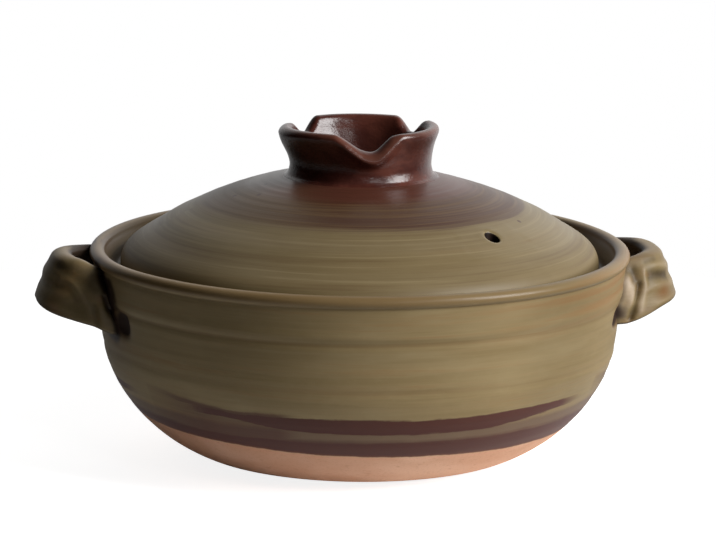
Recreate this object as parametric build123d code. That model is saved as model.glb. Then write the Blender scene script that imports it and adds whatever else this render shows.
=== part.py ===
from build123d import *
from math import atan2, cos, radians, sin, sqrt
import os

# A lidded stoneware cooking pot with two strap handles. Sizes are in millimetres.
# The origin is the middle of the base, +Z is up, the handles lie on -X and +X, the front is -Y.

# Bowl: a flat plain base, a full round belly and a nearly straight wall up to the lip
RIM_RADIUS = 127.5
RIM_HEIGHT = 100.3
WALL_RISE = 32.3
WALL_FLARE = 3.9
WALL = 7.0
FLOOR = 8.0
BASE_RADIUS = 58.0
INNER_BASE_INSET = 14.0
BELLY_CURVE_POWER = 1.8
BELLY_CURVE_STEPS = 8

# Lip: the rolled bead round the mouth, proud of the wall below it
LIP_WIDTH = 7.2
LIP_DEPTH = 6.0
LIP_OVERHANG = 1.6
LIP_INNER_DROP = 2.4

# Gallery and ledge: the mouth narrows inside the lip down to the shelf that carries the lid
GALLERY_NARROWING = 5.1
LEDGE_DEPTH = 11.3
LEDGE_WIDTH = 11.2
LEDGE_THICKNESS = 5.0
LEDGE_ROOT_SHARE = 0.55

# Thrown rings: shallow grooves that the potter's finger leaves round the wall
UPPER_RING_DROP = 22.3
LOWER_RING_DROP = 44.3
RING_WIDTH = 3.0
RING_DEPTH = 0.6

# Lid: a dome with a rounded shoulder and a flat seat ring under its edge
# The dome's curve rises from the edge rise, at the lid's side, to the dome rise in the middle
LID_SIDE_CLEARANCE = 2.2
LID_WALL = 6.5
DOME_RISE = 48.0
LID_EDGE_RISE = 9.5
LID_SHOULDER_RADIUS = 12.0
LID_FOOT_RADIUS = 2.0
SEAT_WIDTH = 5.5

# Steam hole: pierced straight down through the dome at the front right
STEAM_HOLE_RADIUS = 3.5
STEAM_HOLE_INSET = 27.0
STEAM_HOLE_ANGLE = -55.0

# Knob: a thrown ring luted on the dome, flared towards its lip and open like a shallow cup
KNOB_NECK_RADIUS = 33.0
KNOB_LIP_FLARE = 4.3
KNOB_FOOT_FLARE = 5.5
KNOB_FOOT_SLOPE_SHARE = 0.4
KNOB_RISE = 20.5
KNOB_NECK_RISE = 3.5
KNOB_LIP_DROP = 4.0
KNOB_WALL = 6.0
KNOB_CUP_ROUNDING = 3.0

# Notches: three thumb presses in the knob's lip, which lean outwards like small spouts
NOTCH_ANGLES = (-91.0, 37.0, 134.5)
NOTCH_RADIUS = 14.0
NOTCH_DEPTH = 8.5
NOTCH_SLOPE = 30.0

# Handles: fluted straps bent into a loop in plan, taller and thicker where they join the wall
HANDLE_STANDOFF = 24.5
HANDLE_HALF_SPAN = 23.0
HANDLE_THICKNESS = 8.0
HANDLE_ROOT_THICKNESS = 14.0
HANDLE_DEPTH = 20.0
HANDLE_ROOT_DEPTH = 29.5
HANDLE_DROP = 3.3
HANDLE_ROOT_DROP = 5.8
HANDLE_LEAN = 5.5
HANDLE_ROOT_LEAN = 3.0
HANDLE_FLUTES = 3
HANDLE_FLUTE_DEPTH = 1.1
HANDLE_PLAN_POWER = 2.6
HANDLE_STATIONS = 12
LEFT_HANDLE_LIFT = 1.5
RIGHT_HANDLE_LIFT = -1.5

# Cutting tools run past the clay by this much
OVERRUN = 5.0

# Places that follow from the sizes above
BELLY_RADIUS = RIM_RADIUS - LIP_OVERHANG - WALL_FLARE
BELLY_HEIGHT = RIM_HEIGHT - LIP_DEPTH - WALL_RISE
LIP_LOW = (RIM_RADIUS - LIP_OVERHANG, RIM_HEIGHT - LIP_DEPTH)
LIP_SIDE = (RIM_RADIUS, RIM_HEIGHT - LIP_DEPTH / 2)
LIP_TOP = (RIM_RADIUS - LIP_WIDTH / 2, RIM_HEIGHT)
LIP_INNER = (RIM_RADIUS - LIP_WIDTH, RIM_HEIGHT - LIP_INNER_DROP)
LEDGE_HEIGHT = RIM_HEIGHT - LEDGE_DEPTH
GALLERY_RADIUS = LIP_INNER[0] - GALLERY_NARROWING
LEDGE_INNER_RADIUS = GALLERY_RADIUS - LEDGE_WIDTH
LID_RADIUS = GALLERY_RADIUS - LID_SIDE_CLEARANCE
LID_FOOT = (LID_RADIUS - LID_FOOT_RADIUS, LEDGE_HEIGHT)
SEAT_INNER = (LID_FOOT[0] - SEAT_WIDTH, LEDGE_HEIGHT)
DOME_SAG = DOME_RISE - LID_EDGE_RISE
DOME_CURVE_RADIUS = (LID_RADIUS ** 2 + DOME_SAG ** 2) / (2 * DOME_SAG)
DOME_TOP = LEDGE_HEIGHT + DOME_RISE
DOME_CENTRE = DOME_TOP - DOME_CURVE_RADIUS
KNOB_LIP_RADIUS = KNOB_NECK_RADIUS + KNOB_LIP_FLARE
KNOB_INNER_LIP_RADIUS = KNOB_LIP_RADIUS - KNOB_WALL
KNOB_TOP = DOME_TOP + KNOB_RISE


def spin(outline):
    """A solid turned on the wheel from half of its section."""
    return revolve(Plane.XZ * make_face(outline), Axis.Z)


def belly_curve(flat_radius, side_radius, bottom):
    """Points of the full round belly, from the flat bottom out and up to the widest place."""
    points = []
    for step in range(BELLY_CURVE_STEPS + 1):
        turn = radians(90 * step / BELLY_CURVE_STEPS)
        out_share = sin(turn) ** (2 / BELLY_CURVE_POWER)
        up_share = 1 - cos(turn) ** (2 / BELLY_CURVE_POWER)
        radius = flat_radius + (side_radius - flat_radius) * out_share
        points.append((radius, bottom + (BELLY_HEIGHT - bottom) * up_share))
    return points


def bowl_outside():
    """The outer outline from the middle of the base up to the top of the lip."""
    belly = belly_curve(BASE_RADIUS, BELLY_RADIUS, 0)
    outline = Line((0, 0), belly[0])
    outline += Spline(*belly, tangents=((1, 0), (WALL_FLARE, WALL_RISE)))
    outline += Line(belly[-1], LIP_LOW)
    outline += TangentArc(LIP_SIDE, LIP_LOW, tangent=(0, -1))
    outline += EllipticalCenterArc((LIP_TOP[0], LIP_SIDE[1]), LIP_WIDTH / 2, LIP_DEPTH / 2, arc_size=90)
    return outline


def bowl_block():
    """The bowl as if it were solid clay, which trims the handles that are luted on it."""
    return spin(bowl_outside() + Polyline(LIP_TOP, (0, RIM_HEIGHT), (0, 0)))


def wall_radius(height):
    """Radius of the bowl's outside at a height on its belly or its wall."""
    if height > BELLY_HEIGHT:
        return BELLY_RADIUS + WALL_FLARE * (height - BELLY_HEIGHT) / WALL_RISE
    down_share = 1 - height / BELLY_HEIGHT
    out_share = (1 - down_share ** BELLY_CURVE_POWER) ** (1 / BELLY_CURVE_POWER)
    return BASE_RADIUS + (BELLY_RADIUS - BASE_RADIUS) * out_share


def ring_groove(height):
    """A shallow round-bottomed groove round the wall at one height."""
    groove_radius = ((RING_WIDTH / 2) ** 2 + RING_DEPTH ** 2) / (2 * RING_DEPTH)
    middle = Pos(wall_radius(height) - RING_DEPTH + groove_radius, height)
    return revolve(Plane.XZ * (middle * Circle(groove_radius)), Axis.Z)


def pot_body():
    """The bowl with its cavity, its ledge and the gallery above it."""
    inner_radius = BELLY_RADIUS - WALL
    inside = belly_curve(BASE_RADIUS - INNER_BASE_INSET, inner_radius, FLOOR)
    rounding = (LIP_TOP[0] - LIP_INNER[0], LIP_TOP[1] - LIP_INNER[1])
    nose_radius = LEDGE_THICKNESS / 2
    nose = (LEDGE_INNER_RADIUS, LEDGE_HEIGHT - nose_radius)
    nose_top = (LEDGE_INNER_RADIUS + nose_radius, LEDGE_HEIGHT)
    nose_bottom = (LEDGE_INNER_RADIUS + nose_radius, LEDGE_HEIGHT - LEDGE_THICKNESS)
    root_rise = (nose_bottom[1] - BELLY_HEIGHT) * LEDGE_ROOT_SHARE
    outline = bowl_outside()
    outline += EllipticalCenterArc((LIP_TOP[0], LIP_INNER[1]), *rounding, start_angle=90, arc_size=90)
    outline += Polyline(LIP_INNER, (GALLERY_RADIUS, LEDGE_HEIGHT), nose_top)
    outline += ThreePointArc(nose_top, nose, nose_bottom)
    outline += Polyline(nose_bottom, (inner_radius, BELLY_HEIGHT + root_rise), inside[-1])
    outline += Spline(*inside[::-1], tangents=((0, -1), (-1, 0)))
    outline += Polyline(inside[0], (0, FLOOR), (0, 0))
    body = spin(outline)
    for drop in (UPPER_RING_DROP, LOWER_RING_DROP):
        body -= ring_groove(RIM_HEIGHT - drop)
    return body


def dome_height(distance, curve_radius=DOME_CURVE_RADIUS):
    """Height of the dome's surface, or of a curve under it, at a distance from the axis."""
    return DOME_CENTRE + sqrt(curve_radius ** 2 - distance ** 2)


def dome_block():
    """The lid as if it were solid, which trims the knob that is luted on it."""
    across = LID_RADIUS - LID_SHOULDER_RADIUS
    edge_height = dome_height(across, DOME_CURVE_RADIUS - LID_SHOULDER_RADIUS)
    tilt = atan2(edge_height - DOME_CENTRE, across)
    shoulder = (DOME_CURVE_RADIUS * cos(tilt), DOME_CENTRE + DOME_CURVE_RADIUS * sin(tilt))
    turn_x = across + LID_SHOULDER_RADIUS * cos(tilt / 2)
    turn_z = edge_height + LID_SHOULDER_RADIUS * sin(tilt / 2)
    foot_side = (LID_RADIUS, LEDGE_HEIGHT + LID_FOOT_RADIUS)
    outline = RadiusArc((0, DOME_TOP), shoulder, DOME_CURVE_RADIUS)
    outline += ThreePointArc(shoulder, (turn_x, turn_z), (LID_RADIUS, edge_height))
    outline += Line((LID_RADIUS, edge_height), foot_side)
    outline += RadiusArc(foot_side, LID_FOOT, LID_FOOT_RADIUS)
    outline += Polyline(LID_FOOT, (0, LEDGE_HEIGHT), (0, DOME_TOP))
    return spin(outline)


def lid_dome():
    """The domed lid, hollow underneath, with its seat ring and its steam hole."""
    ceiling_curve = DOME_CURVE_RADIUS - LID_WALL
    ceiling_edge_radius = SEAT_INNER[0] - LID_WALL / 2
    ceiling_edge = (ceiling_edge_radius, dome_height(ceiling_edge_radius, ceiling_curve))
    ceiling_top = (0, DOME_TOP - LID_WALL)
    hollow = Polyline(ceiling_top, (0, LEDGE_HEIGHT), SEAT_INNER, ceiling_edge)
    hollow += RadiusArc(ceiling_edge, ceiling_top, -ceiling_curve)
    steam_hole = Cylinder(STEAM_HOLE_RADIUS, DOME_RISE, align=(Align.CENTER, Align.CENTER, Align.MIN))
    place = Rot(0, 0, STEAM_HOLE_ANGLE) * Pos(LID_RADIUS - STEAM_HOLE_INSET, 0, LEDGE_HEIGHT)
    return dome_block() - spin(hollow) - place * steam_hole


def notch_cutter(angle):
    """A round bar laid radially across the knob's lip, lower at its outer end."""
    middle = Pos(KNOB_INNER_LIP_RADIUS, 0, KNOB_TOP - NOTCH_DEPTH + NOTCH_RADIUS)
    bar = Cylinder(NOTCH_RADIUS, 2 * (KNOB_WALL + OVERRUN))
    return Rot(0, 0, angle) * middle * Rot(0, 90 + NOTCH_SLOPE, 0) * bar


def lid_knob():
    """The knob ring, trimmed by the dome that it sits on."""
    foot_radius = KNOB_NECK_RADIUS + KNOB_FOOT_FLARE
    foot = (foot_radius, dome_height(foot_radius))
    neck = (KNOB_NECK_RADIUS, DOME_TOP + KNOB_NECK_RISE)
    lip = (KNOB_LIP_RADIUS, KNOB_TOP - KNOB_LIP_DROP)
    crest = (KNOB_LIP_RADIUS - KNOB_WALL / 2, KNOB_TOP)
    inner_lip = (KNOB_INNER_LIP_RADIUS, KNOB_TOP - KNOB_LIP_DROP)
    inner_neck = (KNOB_NECK_RADIUS - KNOB_WALL, DOME_TOP + KNOB_NECK_RISE)
    cup_radius = inner_neck[0] - KNOB_CUP_ROUNDING
    cup = (cup_radius, dome_height(cup_radius))
    root_height = foot[1] - LID_WALL / 2
    outline = Spline(foot, neck, lip, tangents=((-1, KNOB_FOOT_SLOPE_SHARE), (0, 1)))
    outline += ThreePointArc(lip, crest, inner_lip)
    outline += Spline(inner_lip, inner_neck, cup, tangents=((0, -1), (-1, 0)))
    outline += Polyline(cup, (cup_radius, root_height), (foot_radius, root_height), foot)
    knob = spin(outline) - dome_block()
    for angle in NOTCH_ANGLES:
        knob -= notch_cutter(angle)
    return knob


def strap_outline(depth, thick, lean):
    """The strap's section below its top: rounded edges, a plain inner face, a fluted outer face."""
    half = thick / 2
    run = lean / HANDLE_FLUTES
    drop = (depth - thick) / HANDLE_FLUTES
    valleys = [(half + run * step, -half - drop * step) for step in range(HANDLE_FLUTES + 1)]
    inner_top = (-half, -half)
    inner_bottom = (lean - half, half - depth)
    outline = ThreePointArc(inner_top, (0, 0), valleys[0])
    for upper, lower in zip(valleys, valleys[1:]):
        ridge = ((upper[0] + lower[0]) / 2 + HANDLE_FLUTE_DEPTH, (upper[1] + lower[1]) / 2)
        outline += ThreePointArc(upper, ridge, lower)
    outline += ThreePointArc(valleys[-1], (lean, -depth), inner_bottom)
    outline += Line(inner_bottom, inner_top)
    return make_face(outline)


def strap_section(share):
    """One section of the strap; share runs from -1 at one root, through 0 at the bend, to 1."""
    widest = HANDLE_HALF_SPAN + HANDLE_ROOT_THICKNESS / 2 + HANDLE_ROOT_LEAN + HANDLE_FLUTE_DEPTH
    start = sqrt((BELLY_RADIUS - WALL / 2) ** 2 - widest ** 2)
    reach = BELLY_RADIUS + HANDLE_STANDOFF - HANDLE_THICKNESS / 2 - start
    side = 1 if share > 0 else -1
    turn = radians(90 * abs(share))
    out_share = max(cos(turn), 0) ** (2 / HANDLE_PLAN_POWER)
    across_share = sin(turn) ** (2 / HANDLE_PLAN_POWER)
    slope_x = out_share ** (HANDLE_PLAN_POWER - 1) / reach
    slope_y = side * across_share ** (HANDLE_PLAN_POWER - 1) / HANDLE_HALF_SPAN
    root_share = abs(share) ** 3
    depth = HANDLE_DEPTH + (HANDLE_ROOT_DEPTH - HANDLE_DEPTH) * root_share
    thick = HANDLE_THICKNESS + (HANDLE_ROOT_THICKNESS - HANDLE_THICKNESS) * root_share
    lean = HANDLE_LEAN + (HANDLE_ROOT_LEAN - HANDLE_LEAN) * root_share
    drop = HANDLE_DROP + (HANDLE_ROOT_DROP - HANDLE_DROP) * root_share
    middle = (start + reach * out_share, side * HANDLE_HALF_SPAN * across_share, RIM_HEIGHT - drop)
    section = Plane(origin=middle, x_dir=(slope_x, slope_y, 0), z_dir=(slope_y, -slope_x, 0))
    return section * strap_outline(depth, thick, lean)


def handle(turn, lift):
    """A strap handle, turned to its side and trimmed to the wall that it is luted on."""
    shares = [2 * step / HANDLE_STATIONS - 1 for step in range(HANDLE_STATIONS + 1)]
    strap = loft([strap_section(share) for share in shares])
    return Rot(0, 0, turn) * Pos(0, 0, lift) * strap - bowl_block()


def write(node, piece):
    """One file for each piece, which is one solid."""
    solids = piece.solids()
    if len(solids) != 1:
        raise ValueError(f"{node} has {len(solids)} solids")
    export_step(solids[0], f"parts/{node}.step")


os.makedirs("parts", exist_ok=True)
write("pot_body", pot_body())
write("handle_right", handle(0, RIGHT_HANDLE_LIFT))
write("handle_left", handle(180, LEFT_HANDLE_LIFT))
write("lid_dome", lid_dome())
write("lid_knob", lid_knob())
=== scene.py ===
import bmesh
import bpy
import numpy as np
from numpy import arctan2, cos, exp, hypot, pi, radians, sin, sqrt
from mathutils import Matrix, Vector
from mathutils.kdtree import KDTree


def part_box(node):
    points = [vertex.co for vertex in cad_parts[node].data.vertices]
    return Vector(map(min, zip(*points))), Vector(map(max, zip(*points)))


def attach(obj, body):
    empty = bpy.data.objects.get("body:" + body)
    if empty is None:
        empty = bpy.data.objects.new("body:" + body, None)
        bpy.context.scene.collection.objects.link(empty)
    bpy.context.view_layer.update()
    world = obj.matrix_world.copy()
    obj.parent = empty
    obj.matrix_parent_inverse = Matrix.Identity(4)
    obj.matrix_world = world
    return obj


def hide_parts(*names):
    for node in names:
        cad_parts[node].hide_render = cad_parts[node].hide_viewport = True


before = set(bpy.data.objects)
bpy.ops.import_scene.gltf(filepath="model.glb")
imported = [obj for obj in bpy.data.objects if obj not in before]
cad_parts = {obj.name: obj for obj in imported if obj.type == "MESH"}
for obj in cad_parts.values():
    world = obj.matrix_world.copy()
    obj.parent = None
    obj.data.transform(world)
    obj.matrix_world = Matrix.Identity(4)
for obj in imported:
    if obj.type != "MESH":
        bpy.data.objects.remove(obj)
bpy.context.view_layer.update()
scene = bpy.context.scene

# A lidded stoneware pot, glazed olive over iron brushwork. Sizes are in millimetres and angles in
# degrees. The front is -Y, and an angle round the pot is counted from +X towards +Y.
MM = 0.001

# Sizes read from the frame
POT_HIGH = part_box("pot_body")[1] / MM
LID_LOW, LID_HIGH = (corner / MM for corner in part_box("lid_dome"))
KNOB_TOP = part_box("lid_knob")[1].z / MM

# Bowl, with the proportions of the turned clay
RIM_RADIUS = POT_HIGH.x
RIM_HEIGHT = POT_HIGH.z
LEDGE_HEIGHT = LID_LOW.z
WALL = 7.0
FLOOR = 8.0
BASE_RADIUS = 58.0
INNER_BASE_RADIUS = 44.0
BELLY_POWER = 1.8
FOOT_SLOPE = 4.2
WALL_RISE = 32.3
WALL_FLARE = 3.9
LIP_WIDTH = 7.2
LIP_DEPTH = 6.0
LIP_OVERHANG = 1.6
LIP_INNER_DROP = 2.4
BACK_LIP_RISE = 0.9
GALLERY_NARROWING = 5.1
LEDGE_WIDTH = 11.2
LEDGE_THICKNESS = 5.0
LEDGE_ROOT_SHARE = 0.55
BELLY_RADIUS = RIM_RADIUS - LIP_OVERHANG - WALL_FLARE
BELLY_HEIGHT = RIM_HEIGHT - LIP_DEPTH - WALL_RISE
GALLERY_RADIUS = RIM_RADIUS - LIP_WIDTH - GALLERY_NARROWING
BOWL_SEGMENTS = 384
LIP_GROOVE_HEIGHT = RIM_HEIGHT - 5.4
# Rings on the wall: how far each stands out, its height, its half width and how much it sways
WALL_RINGS = (
    (-0.50, RIM_HEIGHT - 22.3, 1.5, 0.5), (0.35, RIM_HEIGHT - 18.3, 2.6, 0.5),
    (-0.30, RIM_HEIGHT - 44.3, 1.8, 1.0), (-0.35, LIP_GROOVE_HEIGHT, 1.1, 0.0),
)
# Marks of the potter's fingers: how far each stands out, its pitch, its starts, its drift and its phase
THROWING_MARKS = ((0.09, 12.5, 1, 1, 0.0), (0.05, 5.2, 2, 1, 1.3), (0.03, 2.3, 3, 2, 0.4))
SPIRAL_RELIEF = 0.25
SPIRAL_PITCH = 7.0
# Waves round the pot: how high each is, how many there are and their phase
WALL_SWAY = ((0.5, 2, 0.4), (0.3, 5, 2.0))
THROWING_DRIFT = ((0.25, 1, 0.7), (0.12, 3, 0.0))
LIP_WAVES = ((0.18, 3, 1.0), (0.10, 7, 0.0))
# Thumb presses beside the handles' roots: angle round the pot, height, half width, half height
THUMB_PRESSES = (
    (-19.5, 71.4, 10.5, 4.4), (-160.6, 72.8, 7.0, 5.4), (17.0, 69.0, 5.0, 3.6), (162.5, 73.0, 6.0, 4.3),
)
THUMB_PRESS_DEPTH = 2.4
# The straps lie where the pot is further out than this: to a side, from the axis and up
STRAP_PLACE = (80.0, 108.0, 40.0)
# How far from a strap the crease's painted shade reaches, and the dark tint that is partly iron and partly
# painted shade
CREASE_REACH = 4.4
TINT_REACH = 13.0

# Lid
LID_RADIUS = LID_HIGH.x
DOME_TOP = LID_HIGH.z
LID_EDGE_RISE = 9.5
LID_WALL = 6.5
LID_SHOULDER = 12.0
LID_FOOT = 2.0
SEAT_WIDTH = 5.5
DOME_SAG = DOME_TOP - LEDGE_HEIGHT - LID_EDGE_RISE
DOME_CURVE = (LID_RADIUS ** 2 + DOME_SAG ** 2) / (2 * DOME_SAG)
DOME_CENTRE = DOME_TOP - DOME_CURVE
HOLE_RADIUS = 3.5
HOLE_DISTANCE = LID_RADIUS - 27.0
HOLE_ANGLE = -55.0
HOLE_SIDE = Vector((cos(radians(HOLE_ANGLE)), sin(radians(HOLE_ANGLE)), 0))
HOLE_CENTRE = HOLE_SIDE * HOLE_DISTANCE
# The hole's place in the lid's grid: half the side of the block that is cut out, and of what bends round it
HOLE_BLOCK = 4
HOLE_REACH = 12
LID_SEGMENTS = 360
DOME_DIP = 0.8
BROWN_ZONE_RADIUS = 76.0
# Lines turned into the lid: how far each stands out, its pitch and its phase
TURNED_LINES = ((0.035, 4.6, 0.0), (0.025, 7.3, 1.0))
# Iron specks in the lid's glaze, seen from above
LID_SPECKS = ((-61, -11), (-51, -22), (-46, -8), (67, -46), (33, 71), (-70, 52), (82, 30))

# Knob
KNOB_FOOT_RADIUS = 37.2
KNOB_CUP_RADIUS = 24.0
KNOB_SEGMENTS = 288
KNOB_SWAY = ((0.35, 2, 0.5), (0.22, 3, 2.0))
KNOB_WANDER = ((0.25, 2, 1.1), (0.15, 5, 0.0))

# Camera: its distance, height angle and side angle were fitted to the outlines in the photo
PHOTO_WIDTH = 716
CAMERA_DISTANCE = 1500.0
CAMERA_AZIMUTH = -9.0
CAMERA_ELEVATION = 11.15
CAMERA_ROLL = 0.55
PIXELS_PER_MM = 2.11
AXIS_PIXEL_X = 359.65
MIDDLE_HEIGHT = 87.6
SENSOR_WIDTH = 36.0


def unit(value):
    return np.clip(value, 0, 1)


def smooth(value, low, high):
    """0 below low, 1 above high and an even rise between them."""
    share = unit((value - low) / (high - low))
    return share * share * (3 - 2 * share)


def bump(value, middle, width):
    """A soft hump of height 1."""
    return exp(-((value - middle) / width) ** 2)


def waves(turn, terms):
    """Waves round the pot, added up."""
    return sum(rise * sin(count * turn + phase) for rise, count, phase in terms)


def arc(centre, radii, start, stop, steps):
    """Points along an ellipse from one angle to another."""
    turns = radians(np.linspace(start, stop, steps + 1))
    return [(centre[0] + radii[0] * cos(t), centre[1] + radii[1] * sin(t)) for t in turns]


def spaced(points, spacing):
    """The same line with points about as far apart as the spacing."""
    points = np.array(points, float)
    runs = hypot(*np.diff(points, axis=0).T)
    along = np.concatenate(([0], np.cumsum(runs)))
    wanted = np.linspace(0, along[-1], max(2, round(along[-1] / spacing) + 1))
    return np.column_stack([np.interp(wanted, along, points[:, k]) for k in (0, 1)])


def joined(first, *others):
    """One outline from several stretches, without the doubled points where they meet."""
    return np.vstack([first] + [stretch[1:] for stretch in others])


def add(name, data):
    """A new object in the scene."""
    made = bpy.data.objects.new(name, data)
    scene.collection.objects.link(made)
    return made


def lathe(outline, segments):
    """Radius, angle and height of an outline that is turned round the axis, one row a ring."""
    angles = np.linspace(0, 2 * pi, segments, endpoint=False)
    radius, turn = np.meshgrid(outline[:, 0], angles, indexing="ij")
    return radius, turn, np.repeat(outline[:, 1:2], segments, axis=1)


def rings_of(radius, turn, height):
    """The points at these radii, angles and heights."""
    return np.stack((radius * cos(turn), radius * sin(turn), height), axis=2)


def skin(name, rings, start=None, stop=None, loop=False, skip=()):
    """A mesh over rings of points. It ends in a point, runs round to its start or stays open."""
    count, around = rings.shape[:2]
    vertices = [tuple(point) for point in rings.reshape(-1, 3) * MM]
    faces = []
    for low in range(count if loop else count - 1):
        a, b = low * around, (low + 1) % count * around
        for j in range(around):
            if (low, j) not in skip:
                k = (j + 1) % around
                faces.append((a + j, a + k, b + k, b + j))
    for pole, ring in ((start, 0), (stop, count - 1)):
        if pole is not None:
            vertices.append(tuple(Vector(pole) * MM))
            for j in range(around):
                faces.append((ring * around + j, ring * around + (j + 1) % around, len(vertices) - 1))
    mesh = bpy.data.meshes.new(name)
    mesh.from_pydata(vertices, [], faces)
    work = bmesh.new()
    work.from_mesh(mesh)
    bmesh.ops.recalc_face_normals(work, faces=work.faces)
    work.to_mesh(mesh)
    work.free()
    mesh.shade_smooth()
    return add(name, mesh)


def note(piece, **notes):
    """Keeps numbers for each vertex, such as how high the relief is, for the material to read."""
    for name, values in notes.items():
        padded = np.zeros(len(piece.data.vertices), np.float32)
        padded[: values.size] = values.ravel()
        piece.data.attributes.new(name, "FLOAT", "POINT").data.foreach_set("value", padded)


def belly(flat_radius, side_radius, bottom, steps=48):
    """The full round belly, from the flat bottom out and up to the widest place."""
    turns = radians(np.linspace(0, 90, steps + 1))
    out = flat_radius + (side_radius - flat_radius) * sin(turns) ** (2 / BELLY_POWER)
    up = bottom + (BELLY_HEIGHT - bottom) * (1 - abs(cos(turns)) ** (2 / BELLY_POWER))
    return list(zip(out, up))


def wall_radius(height):
    """Radius of the bowl's outside at a height."""
    height = np.asarray(height, float)
    share = unit(1 - height / BELLY_HEIGHT)
    lower = BASE_RADIUS + (BELLY_RADIUS - BASE_RADIUS) * (1 - share ** BELLY_POWER) ** (1 / BELLY_POWER)
    upper = BELLY_RADIUS + WALL_FLARE * (height - BELLY_HEIGHT) / WALL_RISE
    return np.where(height > BELLY_HEIGHT, upper, lower)


def bowl_outline():
    """Half of the bowl's section, from the middle of the base over the lip to the middle of the floor."""
    lip_low = (RIM_RADIUS - LIP_OVERHANG, RIM_HEIGHT - LIP_DEPTH)
    lip_middle = (RIM_RADIUS - LIP_WIDTH / 2, RIM_HEIGHT - LIP_DEPTH / 2)
    lip_inner = (RIM_RADIUS - LIP_WIDTH, RIM_HEIGHT - LIP_INNER_DROP)
    nose = LEDGE_THICKNESS / 2
    ledge_inner = GALLERY_RADIUS - LEDGE_WIDTH
    inner_wall = BELLY_RADIUS - WALL
    nose_bottom = (ledge_inner + nose, LEDGE_HEIGHT - LEDGE_THICKNESS)
    root = (inner_wall, BELLY_HEIGHT + (nose_bottom[1] - BELLY_HEIGHT) * LEDGE_ROOT_SHARE)
    gallery_edge, gallery_foot = (GALLERY_RADIUS + 1, LEDGE_HEIGHT + 1), (GALLERY_RADIUS, LEDGE_HEIGHT)
    outside = [(min(r, BASE_RADIUS + FOOT_SLOPE * z), z) for r, z in belly(BASE_RADIUS, BELLY_RADIUS, 0)]
    inside = belly(INNER_BASE_RADIUS, inner_wall, FLOOR)[::-1]
    side_bulge = arc(lip_middle, (LIP_WIDTH / 2, LIP_DEPTH / 2), -50, 90, 24)
    inner_bulge = arc((lip_middle[0], lip_inner[1]), (LIP_WIDTH / 2, LIP_INNER_DROP), 90, 180, 12)
    return joined(
        spaced([(2.0, 0), (BASE_RADIUS, 0)], 3.0),
        spaced(outside, 1.6),
        spaced([outside[-1], lip_low], 1.3),
        spaced([lip_low] + side_bulge, 0.6),
        spaced(inner_bulge, 0.6),
        spaced([lip_inner, gallery_edge], 1.2),
        spaced([gallery_edge, gallery_foot], 0.7),
        spaced([gallery_foot, (ledge_inner + nose, LEDGE_HEIGHT)], 1.3),
        arc((ledge_inner + nose, LEDGE_HEIGHT - nose), (nose, nose), 90, 270, 10),
        spaced([nose_bottom, root, inside[0]], 2.0),
        spaced(inside, 2.0),
        spaced([inside[-1], (2.0, FLOOR)], 3.0),
    )


def throwing_marks(height, angle):
    """How far the potter's fingers left the wall proud, as a helix up the bowl, in millimetres."""
    turn, drift = angle / (2 * pi), waves(angle, THROWING_DRIFT)
    return sum(rise * sin(2 * pi * (height / pitch - starts * turn + share * drift) + phase)
               for rise, pitch, starts, share, phase in THROWING_MARKS)


def pressed(x, y, height):
    """1 in the middle of a thumb press, falling to 0 at its edge."""
    turn, out = arctan2(y, x), hypot(x, y)
    share = np.zeros_like(height)
    for angle, level, half_width, half_height in THUMB_PRESSES:
        gap = ((turn - radians(angle) + pi) % (2 * pi) - pi) * out
        across, up = abs(gap) / half_width, abs(height - level) / half_height
        share = np.maximum(share, exp(-across ** 3 - up ** 3))
    return share * (1 - smooth(abs(out - BELLY_RADIUS), 4.5, 9))


def gap_to_straps(piece, straps):
    """For each vertex, how far it is from the nearest strap's skin."""
    spots = [v.co / MM for strap_piece in straps for v in strap_piece.data.vertices]
    spots = [s for s in spots if hypot(s.x, s.y) > wall_radius(s.z) - 0.6]
    tree = KDTree(len(spots))
    for index, spot in enumerate(spots):
        tree.insert(spot, index)
    tree.balance()
    values = np.full(len(piece.data.vertices), RIM_RADIUS)
    side, out, up = STRAP_PLACE
    for index, vertex in enumerate(piece.data.vertices):
        place = vertex.co / MM
        if abs(place.x) > side and hypot(place.x, place.y) > out and up < place.z < RIM_HEIGHT:
            values[index] = tree.find(place)[2]
    return values


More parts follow.
